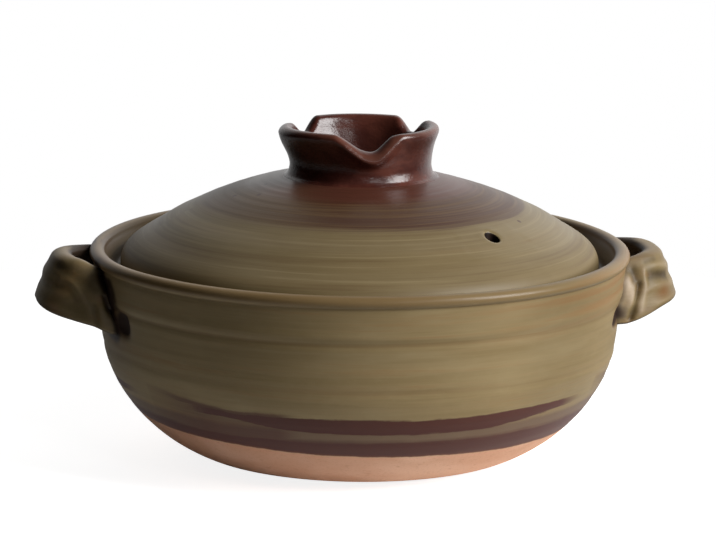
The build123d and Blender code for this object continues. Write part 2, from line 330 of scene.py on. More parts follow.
def bowl(straps):
    """The bowl with its lip, ledge and hollow, and the marks of throwing on its wall."""
    outline = bowl_outline()
    radius, turn, height = lathe(outline, BOWL_SEGMENTS)
    outer = (radius > wall_radius(height) - WALL / 2) & (height < RIM_HEIGHT - LIP_DEPTH + 1)
    # The marks are weaker on the left, and fade towards the foot and the lip
    relief = throwing_marks(height, turn) * (0.45 + 0.55 * smooth(cos(turn), -0.75, 0.2))
    relief = relief * smooth(height, 4, 30) * (1 - smooth(height, LIP_GROOVE_HEIGHT - 8, LIP_GROOVE_HEIGHT))
    for rise, level, width, share in WALL_RINGS:
        relief += rise * bump(height, level + share * waves(turn, WALL_SWAY), width)
    pool = pressed(radius * cos(turn), radius * sin(turn), height)
    relief -= THUMB_PRESS_DEPTH * pool
    relief = np.where(outer, relief, 0)
    inner = ~outer & (height < LEDGE_HEIGHT - LEDGE_THICKNESS - 2) & (radius > INNER_BASE_RADIUS / 2)
    spiral = SPIRAL_RELIEF * sin(2 * pi * height / SPIRAL_PITCH + turn)
    lip = smooth(height, RIM_HEIGHT - LIP_DEPTH, RIM_HEIGHT) * (radius > GALLERY_RADIUS)
    height = height + np.minimum(waves(turn, LIP_WAVES), 0) * lip
    height = height + BACK_LIP_RISE * smooth(sin(turn), 0.0, 0.8) * lip
    radius = radius + relief + np.where(inner, spiral, 0) * smooth(height, FLOOR, FLOOR + 15)
    rings = rings_of(np.minimum(radius, RIM_RADIUS), turn, height)
    piece = skin("pot_shell", rings, start=(0, 0, 0), stop=(0, 0, FLOOR))
    # The gallery inside the rim lies near the straps too, but takes none of the painted shade and tint beside
    # them
    gap = gap_to_straps(piece, straps)
    gap[: radius.size][np.minimum(radius, RIM_RADIUS).ravel() < BELLY_RADIUS - WALL / 2] = RIM_RADIUS
    note(piece, relief=relief, pool=np.where(outer, pool, 0), crease_shade=bump(gap, 0, CREASE_REACH),
         near_strap=bump(gap, 0, TINT_REACH))
    # Slots: 0 is the outside, 1 the hollow and 2 the bare ledge under the lid
    ledge = outline[:, 1] > LEDGE_HEIGHT - LEDGE_THICKNESS - 0.5
    ledge &= outline[:, 1] < LEDGE_HEIGHT + 0.2
    ledge &= outline[:, 0] < LID_RADIUS - LID_FOOT
    after = np.arange(len(outline)) > np.argmax(ledge)
    kinds = np.where(ledge, 2, np.where(after, 1, 0))
    set_materials_by_ring(piece, kinds, BOWL_SEGMENTS)
    return piece


def set_materials_by_ring(piece, kinds, around):
    """Gives each face the material of the first ring that it touches."""
    slots = [kinds[min(face.vertices) // around] for face in piece.data.polygons]
    piece.data.polygons.foreach_set("material_index", np.array(slots, np.int32))


def dome_height(distance, curve=DOME_CURVE):
    """Height of the dome, or of its ceiling with a smaller curve, at a distance from the axis."""
    return DOME_CENTRE + sqrt(curve ** 2 - distance ** 2)


def dome_outline():
    """Half of the lid's section: over the dome, down the shoulder to the foot, then the ceiling."""
    across = LID_RADIUS - LID_SHOULDER
    edge = dome_height(across, DOME_CURVE - LID_SHOULDER)
    tilt = np.degrees(arctan2(edge - DOME_CENTRE, across))
    top_edge = DOME_CURVE * cos(radians(tilt))
    distances = np.linspace(2.0, top_edge, round(top_edge))
    top = [(d, dome_height(d)) for d in distances]
    seat = LID_RADIUS - LID_FOOT - SEAT_WIDTH
    ceiling = distances[distances < seat - LID_WALL / 2][::-1]
    ceiling = [(d, dome_height(d, DOME_CURVE - LID_WALL)) for d in ceiling]
    outline = joined(
        top,
        arc((across, edge), (LID_SHOULDER, LID_SHOULDER), tilt, 0, 16),
        spaced([(LID_RADIUS, edge), (LID_RADIUS, LEDGE_HEIGHT + LID_FOOT)], 1.2),
        arc((LID_RADIUS - LID_FOOT, LEDGE_HEIGHT + LID_FOOT), (LID_FOOT, LID_FOOT), 0, -90, 5),
        spaced([(LID_RADIUS - LID_FOOT, LEDGE_HEIGHT), (seat, LEDGE_HEIGHT)], 1.5),
        spaced([(seat, LEDGE_HEIGHT), ceiling[0]], 1.5),
        ceiling,
    )
    return outline, len(top), len(ceiling)


def open_hole(rings, middle_ring, middle_column, direction):
    """Bends the grid round one block of faces so that the block's edge is a circle."""
    side = Vector((-HOLE_SIDE.y, HOLE_SIDE.x, 0))
    curve = DOME_CURVE if direction > 0 else DOME_CURVE - LID_WALL
    for i in range(-HOLE_REACH, HOLE_REACH + 1):
        for j in range(-HOLE_REACH, HOLE_REACH + 1):
            reach = max(abs(i), abs(j)) / HOLE_BLOCK
            ring, column = middle_ring + i * direction, (middle_column + j) % LID_SEGMENTS
            turn = 0.0
            if abs(i) >= abs(j) and i:
                turn = pi / 4 * j / i + (pi if i < 0 else 0)
            elif j:
                turn = (pi / 2 if j > 0 else -pi / 2) - pi / 4 * i / j
            radius = HOLE_RADIUS * (1 + 0.75 * (max(reach, 1) - 1))
            spot = HOLE_CENTRE + (HOLE_SIDE * cos(turn) + side * sin(turn)) * radius
            keep = smooth(reach, 1.0, HOLE_REACH / HOLE_BLOCK)
            old = rings[ring, column]
            x = spot.x + (old[0] - spot.x) * keep
            y = spot.y + (old[1] - spot.y) * keep
            gap = hypot(x - HOLE_CENTRE.x, y - HOLE_CENTRE.y) - HOLE_RADIUS
            lip = 0.12 * bump(gap, 1.8, 1.3) - 0.45 * exp(-max(gap, 0) / 0.35)
            z = dome_height(hypot(x, y), curve) + direction * lip
            rings[ring, column] = (x, y, z)


def dome():
    """The lid: a hollow dome with a flat seat ring, turned lines in its brown zone and a steam hole."""
    outline, top_count, ceiling_count = dome_outline()
    radius, turn, height = lathe(outline, LID_SEGMENTS)
    order = np.repeat(np.arange(len(outline))[:, None], LID_SEGMENTS, axis=1)
    on_top = order < top_count + 10
    swirl = radius + 1.5 * turn / pi + 0.6 * sin(2 * turn + 1)
    turned = sum(rise * sin(2 * pi * swirl / pitch + phase) for rise, pitch, phase in TURNED_LINES)
    brown = smooth(radius, 30, 40) * (1 - smooth(radius, BROWN_ZONE_RADIUS - 6, BROWN_ZONE_RADIUS + 6))
    broad = 0.16 * sin(2 * pi * (radius / 17.0) + sin(turn))
    relief = np.where(on_top, turned * (0.25 + 0.75 * brown) + broad * smooth(radius, 70, 90), 0)
    relief = relief * (1 - smooth(radius, LID_RADIUS - 6, LID_RADIUS - 1))
    relief = relief - DOME_DIP * bump(radius, 54, 24) * unit(cos(turn - pi / 4))
    height = height + np.where(order < top_count, relief, 0)
    rings = rings_of(radius, turn, np.minimum(height, DOME_TOP))
    hole_ring = int(np.argmin(abs(outline[:top_count, 0] - HOLE_DISTANCE)))
    under_ring = len(outline) - 1 - hole_ring
    hole_column = round(HOLE_ANGLE / 360 * LID_SEGMENTS) % LID_SEGMENTS
    open_hole(rings, hole_ring, hole_column, 1)
    open_hole(rings, under_ring, hole_column, -1)
    run = range(-HOLE_BLOCK, HOLE_BLOCK)
    rows = {hole_ring + k for k in run} | {under_ring - 1 - k for k in run}
    skip = {(row, (hole_column + k) % LID_SEGMENTS) for row in rows for k in run}
    piece = skin("lid_shell", rings, start=(0, 0, DOME_TOP), stop=(0, 0, DOME_TOP - LID_WALL), skip=skip)
    note(piece, relief=relief)
    # Slots: 0 is the top, 1 the bare seat, 2 the ceiling and 3 the wall of the hole
    kinds = np.zeros(len(outline), int)
    kinds[np.argmax(outline[:, 1] < LEDGE_HEIGHT + 0.5) :] = 1
    kinds[len(outline) - ceiling_count - 3 :] = 2
    set_materials_by_ring(piece, kinds, LID_SEGMENTS)
    line_hole(piece, hole_ring, under_ring, hole_column)
    return piece


def hole_edge(ring, column, direction):
    """The block's edge vertices in order round the hole."""
    run = range(-HOLE_BLOCK, HOLE_BLOCK)
    steps = [(HOLE_BLOCK, k) for k in run] + [(-k, HOLE_BLOCK) for k in run]
    steps += [(-HOLE_BLOCK, -k) for k in run] + [(k, -HOLE_BLOCK) for k in run]
    return [(ring + i * direction) * LID_SEGMENTS + (column + j) % LID_SEGMENTS for i, j in steps]


def line_hole(piece, top_ring, under_ring, column, steps=8):
    """The wall of the steam hole, from its edge on the dome down to its edge on the ceiling."""
    work = bmesh.new()
    work.from_mesh(piece.data)
    work.verts.ensure_lookup_table()
    upper = [work.verts[k] for k in hole_edge(top_ring, column, 1)]
    lower = [work.verts[k] for k in hole_edge(under_ring, column, -1)]
    loops = [[work.verts.new(a.co.lerp(b.co, step / steps)) for a, b in zip(upper, lower)]
             for step in range(1, steps)]
    loops = [upper, *loops, lower]
    for above, below in zip(loops, loops[1:]):
        for k in range(len(upper)):
            face = work.faces.new((above[k - 1], above[k], below[k], below[k - 1]))
            face.smooth = True
            face.material_index = 3
    bmesh.ops.recalc_face_normals(work, faces=work.faces)
    work.to_mesh(piece.data)
    work.free()


# Notches in the knob's lip: middle, reach to the left and to the right, depth, how flat the bottom is
NOTCHES = ((-89.5, 29.0, 22.0, 8.3, 0.25), (34.5, 19.0, 14.0, 6.8, 1.0), (132.0, 14.0, 26.0, 7.3, 1.0))
NOTCH_TIP = 0.30
KNOB_LEAN = 0.8
SHOULDER_SOFTNESS = 0.06
KNOB_SWELL = 1.1
KNOB_CURL = 1.5


def notch_shares(angle, narrow=1.0):
    """How far the lip is pressed down at each angle, from 0 to about 1, and the depth there."""
    share, depth = np.zeros_like(angle), np.zeros_like(angle)
    for middle, before, after, deep, flat in NOTCHES:
        gap = (angle - middle + 180) % 360 - 180
        away = abs(gap) / np.where(gap < 0, before, after * narrow)
        tip = sqrt(1 + NOTCH_TIP ** 2) - NOTCH_TIP
        vee = np.clip(1 - (sqrt(away ** 2 + NOTCH_TIP ** 2) - NOTCH_TIP) / tip, 0, 1)
        vee = sqrt(vee ** 2 + SHOULDER_SOFTNESS) - sqrt(SHOULDER_SOFTNESS)
        vee = vee / (sqrt(1 + SHOULDER_SOFTNESS) - sqrt(SHOULDER_SOFTNESS))
        climb = sin(pi / 2 * unit((away - 0.25) / 0.9))
        scoop = 1 - (smooth(away, 0.25, 1.10) + climb) / 2
        push = vee + (scoop - vee) * flat
        share = np.maximum(share, push)
        depth = np.maximum(depth, push * deep)
    return share, depth


def catmull(points, steps):
    """A smooth closed line through rows of points; each row holds the same point for all angles."""
    count = len(points)
    out = []
    for k in range(count):
        a, b, c, d = (points[(k + m - 1) % count] for m in range(4))
        for step in range(steps[k]):
            t = step / steps[k]
            out.append(0.5 * ((2 * b) + (c - a) * t + (2 * a - 5 * b + 4 * c - d) * t ** 2
                              + (3 * b - a - 3 * c + d) * t ** 3))
    return np.array(out)


# Section of the knob as radius and height over the dome's top, where the lip is whole
KNOB_SECTION = (
    (34.4, -2.3), (33.7, -0.3), (33.3, 2.4), (33.8, 6.8), (35.4, 12.0), (37.0, 16.2), (37.4, 18.5),
    (36.5, 20.0), (34.7, 20.4), (32.7, 19.7), (31.4, 17.4), (30.3, 13.6), (28.5, 8.6), (27.2, 4.2), (26.0, 0.4),
)
# The same points in the middle of a notch that is pressed down and out by NOTCH_DROP
NOTCH_DROP = 8.3
NOTCH_SECTION = (
    (34.4, -2.3), (33.7, -0.6), (33.2, 1.4), (33.5, 3.7), (35.3, 5.5), (37.6, 6.7), (38.5, 8.2), (37.5, 10.2),
    (35.2, 11.8), (32.7, 12.4), (31.0, 11.7), (29.8, 9.4), (28.3, 6.4), (27.2, 3.6), (26.0, 0.4),
)


def knob():
    """The ring on the lid: a flared neck with a lip that is pressed down and out at three notches."""
    angles = np.linspace(0, 360, KNOB_SEGMENTS, endpoint=False)
    outer_notch, inner_notch = notch_shares(angles, 1.12), notch_shares(angles, 0.86)
    turn = radians(angles)
    sway = waves(turn, KNOB_SWAY)
    leftward = bump((angles - 172) / 34, 0, 1)

    def spot(radius, height):
        return np.stack((radius + 0 * turn, height + 0 * turn), 1)

    def on_dome(radius, lift):
        return spot(radius, dome_height(radius) + lift)

    points = [on_dome(KNOB_FOOT_RADIUS, -0.4), on_dome(KNOB_FOOT_RADIUS - 1.7, 0.3)]
    for index, ((radius, rise), (low_radius, low_rise)) in enumerate(zip(KNOB_SECTION, NOTCH_SECTION)):
        inward = smooth(index, 6, 10)
        share, depth = (outer + (inner - outer) * inward for outer, inner in zip(outer_notch, inner_notch))
        out = radius + (low_radius - radius) * share
        up = rise + (low_rise - rise) * depth / NOTCH_DROP + 0.25 * sway * rise / 20.0
        swell = KNOB_SWELL * leftward * bump(rise, 11.0, 6.5) * (1 - inward)
        curl = KNOB_CURL * leftward * bump(index, 6.5, 1.6)
        points.append(spot(out + swell, DOME_TOP + up - curl))
    points += [on_dome(KNOB_CUP_RADIUS, -0.3), on_dome(KNOB_CUP_RADIUS, -3.0),
               on_dome(KNOB_FOOT_RADIUS, -3.0)]
    steps = [2, 4, 4, 4, 5, 5, 5, 4, 4, 4, 4, 4, 5, 5, 5, 5, 4, 1, 1, 1]
    rows = catmull(points, steps)
    radius, height = rows[:, :, 0], rows[:, :, 1]
    turns = np.repeat(turn[None, :], len(rows), axis=0)
    radius = radius + smooth(height, DOME_TOP, KNOB_TOP) * waves(turns, KNOB_WANDER)
    aside = KNOB_LEAN * smooth(height, DOME_TOP + 4, KNOB_TOP - 6)
    x = radius * cos(turns) - aside
    rings = np.stack((x, radius * sin(turns), np.minimum(height, KNOB_TOP)), axis=2)
    piece = skin("knob_ring", rings, loop=True)
    order = np.arange(len(rows))[:, None] + 0 * turns
    note(piece, relief=bump(order, sum(steps[:9]), 4.0))
    return piece


# Handles: a strap bent in plan, with flutes along it and marks pressed into its limbs. Each limb ends
# in a root on the wall
HALF_SPAN = 23.0
STRAP_THICKNESS = 8.0
ROOT_THICKNESS = 14.0
STRAP_DEPTH = 22.0
ROOT_DEPTH = 31.0
ROOT_LEAN = 3.0
STANDOFF = 24.5
PLAN_POWER = 2.6
STATIONS = 200
BEND_FILL = 2.6
FLUTE_SPACING = 0.325
ROOT_SINK = 2.0
LIMB_LENGTH = 46.0
LIMB_HEIGHT = 25.0
# Marks pressed into a limb of a strap. Each is a line of points (share of the way to the root, share of the
# way down), then how far it stands out, how wide it is, and how pale or dark it is painted: partly the
# glaze's tone and partly painted shade in the hollows and painted highlight on the ridges.
PINCHED_LIMB = (
    (((0.755, 0.42), (0.80, 0.66), (0.845, 0.92)), -1.3, 1.2, -1.25),
    (((0.80, 0.20), (0.79, 0.31)), -1.2, 2.2, -1.25),
    (((0.69, 0.24), (0.695, 0.48), (0.76, 0.84)), 0.6, 1.5, 0.4),
    (((0.87, 0.32), (0.85, 0.50), (0.81, 0.68)), 0.5, 2.6, 1.0),
    (((0.66, 0.21), (0.50, 0.20), (0.30, 0.24)), 0.15, 1.4, 0.12),
    (((0.62, 0.34), (0.50, 0.38), (0.36, 0.46)), -0.45, 2.7, -1.15),
    (((0.67, 0.57), (0.52, 0.55), (0.33, 0.56)), 0.25, 1.0, 0.05),
    (((0.64, 0.10), (0.50, 0.10)), -0.2, 1.3, -0.5),
    (((0.93, 0.66), (0.90, 0.84)), 0.3, 1.6, 0.3),
)
FOLDED_LIMB = (
    (((0.86, 0.04), (0.90, 0.22), (0.93, 0.42), (0.95, 0.60)), -2.4, 2.4, -2.6),
    (((0.885, 0.36), (0.912, 0.54)), 1.1, 0.7, 1.4),
    (((0.862, 0.42), (0.895, 0.60)), -0.9, 1.0, -1.2),
    (((0.42, 0.36), (0.54, 0.35), (0.62, 0.41), (0.68, 0.52), (0.73, 0.66), (0.78, 0.90)),
     0.35, 1.1, 0.12),
    (((0.79, 0.62), (0.815, 0.95)), -0.5, 1.2, -0.5),
    # Painted shade along the upper edge near the root, over a shallow groove
    (((0.30, 0.17), (0.48, 0.22), (0.66, 0.28), (0.78, 0.34)), -0.3, 1.9, -0.55),
    (((0.38, 0.50), (0.52, 0.51), (0.61, 0.60)), -0.45, 1.7, -0.5),
    (((0.86, 0.68), (0.885, 0.86)), 0.3, 2.4, 0.25),
    # Painted shade only, with no relief, under the limb's top near the root
    (((0.34, 0.12), (0.60, 0.14), (0.80, 0.18)), 0.0, 2.8, -0.75),
)


def line_gap(across, up, line):
    """How far each place is from a line of points."""
    nearest = np.full(across.shape, np.inf)
    for (x0, y0), (x1, y1) in zip(line, line[1:]):
        length = (x1 - x0) ** 2 + (y1 - y0) ** 2
        share = np.clip(((across - x0) * (x1 - x0) + (up - y0) * (y1 - y0)) / length, 0, 1)
        gap = hypot(across - x0 - share * (x1 - x0), up - y0 - share * (y1 - y0))
        nearest = np.minimum(nearest, gap)
    return nearest


def pressed_marks(root, down, marks):
    """The relief of a limb's marks and how pale or dark they are painted, partly the glaze's tone and partly
    painted shade and highlight.
    """
    relief, tone = np.zeros_like(down), np.zeros_like(down)
    for line, rise, width, shade in marks:
        line = [(share * LIMB_LENGTH, drop * LIMB_HEIGHT) for share, drop in line]
        hump = bump(line_gap(root * LIMB_LENGTH, down * LIMB_HEIGHT, line), 0, width)
        relief += rise * hump
        tone += shade * hump
    return relief, tone


def strap(name, turned, top_height, more_depth, lean_out, root_drop, lump, flutes, front_marks, back_marks):
    """A strap handle; it is made on the right and then turned to its side.

    Root drop is how far the top of the front limb falls towards its root, and lean out how far the foot
    stands out. The lump hangs under the front limb: its depth, and where it starts and is full.
    """
    shares = np.linspace(-1, 1, STATIONS)
    root, side = abs(shares), np.sign(shares)
    widest = HALF_SPAN + ROOT_THICKNESS / 2 + ROOT_LEAN
    start = sqrt((BELLY_RADIUS - WALL / 2) ** 2 - widest ** 2)
    reach = BELLY_RADIUS + STANDOFF - STRAP_THICKNESS / 2 - start
    turn = pi / 2 * root
    out = np.maximum(cos(turn), 0) ** (2 / PLAN_POWER)
    across = sin(turn) ** (2 / PLAN_POWER)
    slope_x = out ** (PLAN_POWER - 1) / reach
    slope_y = side * across ** (PLAN_POWER - 1) / HALF_SPAN
    length = hypot(slope_x, slope_y)
    normal_x, normal_y = slope_x / length, slope_y / length
    in_front = shares > 0 if turned else shares < 0
    corner = sin(pi * root) ** 2
    drop = root_drop * smooth(root, 0.5, 0.95) * in_front
    depth = STRAP_DEPTH + (ROOT_DEPTH - STRAP_DEPTH) * root ** 1.4 - drop
    hang, start_share, full_share = lump
    depth += more_depth * (1 - root ** 3) + hang * smooth(root, start_share, full_share) * in_front
    depth -= 0.75 * hang * smooth(root, 0.86, 1.0) * in_front * (not turned)
    half = (STRAP_THICKNESS + (ROOT_THICKNESS - STRAP_THICKNESS) * root ** 3) / 2
    lean = lean_out + (ROOT_LEAN - lean_out) * root ** 3
    top = top_height - 2.0 * root ** 8 + 0.4 * sin(shares * 4 + turned) - drop

    def spot(across_section, below):
        """A point of the section: how far out of the middle line, and how far below the top."""
        return np.stack((across_section + 0 * root, top - below), 1)

    crest = 3.8 + 0.6 * corner - 1.6 * root ** 3
    fill = BEND_FILL * bump(root, 0, 0.4)
    inner = crest + 0.2 + 1.0 * corner + fill
    points = [spot(*place) for place in (
        (-crest * 0.4 - fill / 2, 0.0), (crest * 0.35, 0.6), (crest * 0.95, 3.0),
        (half + lean * 0.3, depth * 0.33), (half + lean * 0.68, depth * 0.66),
        (half + lean, depth - 3.2), (half + lean * 0.95, depth - 0.9), (half + lean - 3.0, depth),
        (lean * 0.7 - half + 2.2 - fill, depth - 0.3), (lean * 0.7 - half - fill, depth - 3.0),
        (lean * 0.35 - half - fill, depth * 0.5), (-inner, 4.0), (-inner + 0.8, 1.1),
    )]
    steps = [4, 6, 10, 14, 14, 7, 5, 5, 5, 9, 9, 5, 4]
    rows = catmull(points, steps)
    offset, height = rows[:, :, 0], rows[:, :, 1]
    along = np.roll(rows, -1, axis=0) - np.roll(rows, 1, axis=0)
    along /= np.maximum(np.linalg.norm(along, axis=2, keepdims=True), 1e-6)
    outward, upward = -along[:, :, 1], along[:, :, 0]
    down = unit((top - height) / depth)
    x = start + reach * out + normal_x * offset
    y = side * HALF_SPAN * across + normal_y * offset
    away = hypot(x, y) - wall_radius(height)
    roots = root + 0 * down
    # The flutes sink towards the bend and fade where the marks begin
    level = down - 0.18 * unit(1 - roots / 0.65)
    wave = cos(2 * pi * (level - 0.21) / FLUTE_SPACING) * smooth(down, 0.0, 0.12)
    plain = 1 - smooth(roots, 0.48, 0.70)
    relief = flutes * wave * plain
    # The flute ridges are painted paler and the valleys darker, partly the glaze and partly painted light, with
    # painted shade along the bottom edge
    tone = (0.6 * flutes * wave - smooth(down, 0.86, 0.96)) * plain
    for side_mask, marks in ((in_front, front_marks), (~in_front, back_marks)):
        marked, shaded = pressed_marks(roots, down, marks)
        relief += marked * side_mask
        tone += shaded * side_mask
    tone = tone * smooth(outward, 0.1, 0.6)
    push = relief * unit(outward) + 0.3 * sin(shares * 7 + turned) * sin(down * 5 + shares * 3)
    x, y = x + normal_x * push * outward, y + normal_y * push * outward
    height = height + push * upward * 0.7
    if turned:
        x, y = -x, -y
    # The ends stop just under the skin of the wall
    angle, pool = arctan2(y, x), pressed(x, y, height)
    ends = wall_radius(height) - ROOT_SINK - THUMB_PRESS_DEPTH * pool
    distance = np.maximum(hypot(x, y) - 2.5 * pool, ends)
    rings = rings_of(distance, angle, height).transpose(1, 0, 2)
    piece = skin(name, rings, start=rings[0].mean(axis=0), stop=rings[-1].mean(axis=0))
    # Notes for the glaze: a paler top edge, partly thin glaze and partly painted highlight, and painted shade
    # on the faces turned to the wall, on the back limb's top near its root and on the underside
    top_side = unit(upward)
    edge = top_side * bump(outward, -0.3, 0.35)
    inner_face_shade = -1.6 * outward + 0.75 * top_side * smooth(root, 0.2, 0.55) * (~in_front)
    patch = bump(roots, 0.45, 0.12) * bump(down, 0.72, 0.12) * in_front
    notes = dict(
        pale=unit(tone) + 0.6 * edge, deep=unit(-tone), crease_shade=unit(-tone - 1), away=away, pool=pool,
        patch=patch * (not turned), inner_face_shade=unit(inner_face_shade), underside_shade=smooth(-upward, 0.3, 0.9),
    )
    note(piece, **{label: values.T for label, values in notes.items()})
    return piece


def srgb(red, green, blue):
    """A colour given as it looks on a screen, from 0 to 255."""
    values = [channel / 255 for channel in (red, green, blue)]
    linear = [v / 12.92 if v <= 0.04045 else ((v + 0.055) / 1.055) ** 2.4 for v in values]
    return (*linear, 1.0)


def sum_of(operation):
    """A method that takes a field and one more value to a new field."""
    return lambda self, other=0.0: self.graph.node("Math", operation=operation, _0=self, _1=other)


class Field:
    """What a node works out at each place, with the sums that the materials use."""

    def __init__(self, graph, socket):
        self.graph, self.socket = graph, socket

    __add__ = __radd__ = sum_of("ADD")
    __sub__ = sum_of("SUBTRACT")
    __mul__ = __rmul__ = sum_of("MULTIPLY")
    __mod__ = sum_of("FLOORED_MODULO")
    __abs__ = sum_of("ABSOLUTE")
    most = sum_of("MAXIMUM")
    least = sum_of("MINIMUM")
    root = sum_of("SQRT")
    turn = sum_of("ARCTAN2")

    def __rsub__(self, other):
        return self.graph.node("Math", operation="SUBTRACT", _0=other, _1=self)

    def rise(self, low, high, start=0.0, stop=1.0, kind="SMOOTHSTEP"):
        """Start at low, stop at high, and a smooth rise between them. Low and high may be swapped."""
        return self.graph.node("MapRange", interpolation_type=kind, Value=self, From_Min=low,
                               From_Max=high, To_Min=start, To_Max=stop)


class Graph:
    """The nodes of a material or of the world."""

    def __init__(self, owner):
        owner.use_nodes = True
        self.tree = owner.node_tree

    def put(self, socket, value):
        if isinstance(value, Field):
            self.tree.links.new(value.socket, socket)
        else:
            socket.default_value = value

    def node(self, kind, output=0, **values):
        """Makes a node and returns one of its outputs.

        A value whose name starts with a small letter is a setting of the node. The others go into its
        inputs, by name, or by number after an underscore.
        """
        made = self.tree.nodes.new("ShaderNode" + kind)
        for name, value in values.items():
            if name[0].islower():
                setattr(made, name, value)
            else:
                self.put(made.inputs[int(name[1:]) if name[0] == "_" else name.replace("_", " ")], value)
        return Field(self, made.outputs[output]) if made.outputs else None

    def vector(self, operation, first, second=(0, 0, 0), output="Vector"):
        return self.node("VectorMath", output, operation=operation, _0=first, _1=second)


class Look(Graph):
    """A glaze, or bare clay. Its colour is built up of tints, each laid over what is there."""

    def __init__(self, name, roughness, specular):
        self.material = bpy.data.materials.new(name)
        super().__init__(self.material)
        self.shader = self.tree.nodes["Principled BSDF"].inputs
        self.shader["Specular IOR Level"].default_value = specular
        self.roughness = roughness
        self.place = self.vector("MULTIPLY", self.node("TexCoord", "Object"), (1 / MM,) * 3)
        self.x, self.y, self.z = (self.node("SeparateXYZ", axis, _0=self.place) for axis in "XYZ")
        self.radius = (self.x * self.x + self.y * self.y).root()
        self.angle = self.y.turn(self.x) * (180 / pi)
        self.colour = OLIVE

    def noise(self, around, up, detail, roughness=0.5, distortion=0.0, shift=(0, 0, 0)):
        """Noise from 0 to 1, with so many cycles a millimetre round the pot and up it."""
        place = self.vector("ADD", self.vector("MULTIPLY", self.place, (around, around, up)), shift)
        return self.node("TexNoise", Vector=place, Scale=1.0, Detail=detail, Roughness=roughness,
                         Distortion=distortion)

    def note(self, name):
        return self.node("Attribute", "Fac", attribute_name=name)

    def distance(self, spot):
        return self.vector("DISTANCE", self.place, spot, "Value")

    def mix(self, share, first, second):
        return self.node("Mix", 2, data_type="RGBA", _0=share, _6=first, _7=second)

    def tint(self, share, toward):
        self.colour = self.mix(share, self.colour, toward)

    def done(self, rougher, relief, depth):
        """The material with its colour, how much rougher it is, and fine relief of a depth in millimetres."""
        self.put(self.shader["Base Color"], self.colour)
        self.put(self.shader["Roughness"], self.roughness + rougher)
        self.put(self.shader["Normal"], self.node("Bump", Strength=1.0, Distance=depth * MM, Height=relief))
        return self.material


OLIVE = srgb(151, 131, 93)
OLIVE_DEEP = srgb(130, 110, 72)
OLIVE_PALE = srgb(168, 150, 113)
OLIVE_SHADE = srgb(98, 84, 56)
STRAP_PALE_AND_HIGHLIGHT = srgb(196, 176, 150)
STRAP_DEEP_AND_SHADE = srgb(80, 66, 40)
STRAP_MAUVE = srgb(140, 116, 100)
STRAP_PATCH = srgb(122, 84, 46)
STRAP_UNDER_SHADE = srgb(72, 56, 36)
STRAP_INNER_SHADE = srgb(44, 32, 27)
IRON_TINT = srgb(146, 104, 62)
IRON_DARK_AND_SHADE = srgb(78, 37, 32)
IRON_BROWN = srgb(104, 80, 66)
THIN_GLAZE = srgb(112, 82, 50)
GALLERY_SHADE = srgb(84, 68, 44)
INSIDE_DARK = srgb(84, 62, 40)
INSIDE_PALE = srgb(120, 98, 62)
HOLE_SHADE_DARK = srgb(30, 20, 16)
HOLE_SHADE_PALE = srgb(48, 32, 24)
POOLED_AND_SHADE = srgb(40, 24, 19)
CLAY = srgb(238, 194, 164)
CLAY_DEEP = srgb(226, 176, 144)
CLAY_GRAIN_AND_SHADE = srgb(190, 130, 100)
CLAY_EDGE = srgb(112, 68, 42)
KNOB_BROWN = srgb(100, 54, 43)
KNOB_DARK = srgb(67, 32, 26)
KNOB_EDGE = srgb(128, 84, 66)
LID_BROWN = srgb(72, 42, 29)
LID_DARK = srgb(70, 38, 30)
LID_LINES = srgb(96, 70, 45)

# Iron brushwork on the bowl: three strokes round it, each with a thin tail, over a dark band
STROKE_TURN = 120.0
STROKE_START = -153.0
STROKE_LOW = 35.0
STROKE_HIGH = 43.1
STROKE_THINNING = 4.5
STROKE_CLIMB = 5.5
TAIL_HEIGHT = 42.8
BAND_TOP = 33.0
# The glaze ends at this height, and lower towards the right
CLAY_LINE = 23.1
CLAY_LINE_SLOPE = -0.030


def olive_glaze(look, iron, shade=0.0):
    """The satin glaze that covers the bowl, handles and lid: long soft streaks round the pot."""
    tint = look.tint
    broad = look.noise(0.012, 0.05, 3, 0.5, 0.3)
    streak = look.noise(0.010, 0.30, 4, 0.6, 0.2, (3, 5, 7))
    fine = look.noise(0.05, 1.4, 3, 0.6, 0.1, (9, 1, 4))
    mottle = look.noise(0.14, 0.22, 4, 0.6, 0.0, (2, 8, 1))
    tint(streak.rise(0.62, 0.38) * 0.45, OLIVE_DEEP)
    tint(broad.rise(0.45, 0.75) * 0.6, OLIVE_PALE)
    tint((streak + fine * 0.3).rise(0.66, 0.88) * iron, IRON_TINT)
    tint(mottle.rise(0.45, 0.8) * 0.15, OLIVE_PALE)
    tint(fine.rise(0.55, 0.8) * 0.18, OLIVE_DEEP)
    # A darker tone over a whole piece: on the lid a darker olive, on the handles painted shade
    if shade:
        tint(shade, OLIVE_SHADE)
    return streak, fine


def bare_clay(look):
    """The colour and the grain of unglazed fired clay, fine and sandy."""
    grain = look.noise(0.9, 1.2, 5, 0.7)
    cloud = look.noise(0.03, 0.06, 3, 0.5, 0.4)
    flecks = look.noise(0.22, 0.4, 4, 0.7, 0.0, (5, 2, 3))
    clay = look.mix(cloud.rise(0.35, 0.7), CLAY_DEEP, CLAY)
    clay = look.mix(flecks.rise(0.56, 0.72) * 0.35, clay, CLAY_GRAIN_AND_SHADE)
    return look.mix(grain.rise(0.5, 0.75) * 0.4, clay, CLAY_GRAIN_AND_SHADE), grain


